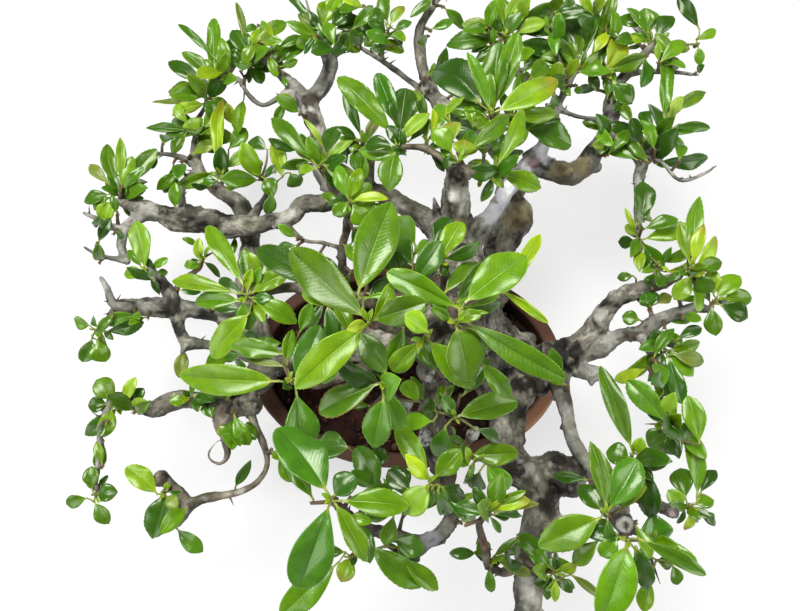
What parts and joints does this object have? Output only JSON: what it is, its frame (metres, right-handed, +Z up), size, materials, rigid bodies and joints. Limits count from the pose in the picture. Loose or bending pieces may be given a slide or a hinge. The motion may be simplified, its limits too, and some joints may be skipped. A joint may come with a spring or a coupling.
{
  "type": "bonsai tree in a pot",
  "caption": "Small potted firethorn trained as a bonsai: knobbly trunk leaning up from an oval clay pot, long low limbs and loose rosettes of glossy narrow leaves.",
  "frame": {"origin": "centre of the pot's flat underside, on the surface that the pot stands on", "axes": "+Z up, +X along the oval pot's long side towards the side where the trunk stands, -Y towards the viewer of the reference picture"},
  "size_m": [0.3733, 0.3967, 0.245],
  "materials": {
    "pot_clay": "matte",
    "growing_soil": "matte",
    "drainage_mesh": "matte",
    "bark": "matte",
    "leaf": "satin"
  },
  "bodies": {
    "root": {"pot": "pot_clay", "drainage_mesh_left": "drainage_mesh", "drainage_mesh_right": "drainage_mesh", "soil": "growing_soil", "trunk_and_branches": "bark", "leaves_apex_a": "leaf", "leaves_apex_b": "leaf", "leaves_apex_c": "leaf", "leaves_apex_e": "leaf", "leaves_front_left_top": "leaf", "leaves_front_mid_a": "leaf", "leaves_front_mid_b": "leaf", "leaves_front_rosette_a": "leaf", "leaves_front_rosette_b": "leaf", "leaves_front_twiglets": "leaf", "leaves_lower_left_rosette": "leaf", "leaves_left_rosette": "leaf", "leaves_left_upper_rosette": "leaf", "leaves_mid_twig_rosette": "leaf", "leaves_left_top_rosette": "leaf", "leaves_mid_top_cluster": "leaf", "leaves_back_left_rosette": "leaf", "leaves_back_twig_leaves": "leaf", "leaves_stub_rosette": "leaf", "leaves_stub_rosette_right": "leaf", "leaves_back_rosette": "leaf", "leaves_top_centre": "leaf", "leaves_top_right_a": "leaf", "leaves_top_right_c": "leaf", "leaves_right_top_d": "leaf", "leaves_right_leaf_spray": "leaf", "leaves_right_bright": "leaf", "leaves_right_round": "leaf", "leaves_right_mid_cluster": "leaf", "leaves_right_lower_a": "leaf", "leaves_right_lower_b": "leaf", "leaves_lower_right_rosette": "leaf", "leaves_lower_right_b": "leaf", "leaves_right_edge": "leaf", "leaves_front_small_rosette": "leaf", "leaves_front_left_dark": "leaf", "leaves_front_left_low": "leaf", "leaves_left_pair": "leaf", "leaves_left_round_pale": "leaf", "leaves_left_edge_low": "leaf", "leaves_left_edge_leaves": "leaf", "leaves_left_edge_mid": "leaf", "leaves_left_sprout": "leaf", "leaves_left_sprout_b": "leaf", "leaves_left_far_star": "leaf", "leaves_left_low_edge": "leaf", "leaves_top_left_far": "leaf", "leaves_top_left_mid": "leaf", "leaves_top_left_low": "leaf", "leaves_top_left_strap": "leaf", "leaves_top_left_sprig": "leaf", "leaves_top_blur_a": "leaf", "leaves_top_blur_b": "leaf", "leaves_off_front": "leaf", "leaves_off_right": "leaf"}
  },
  "joints": []
}
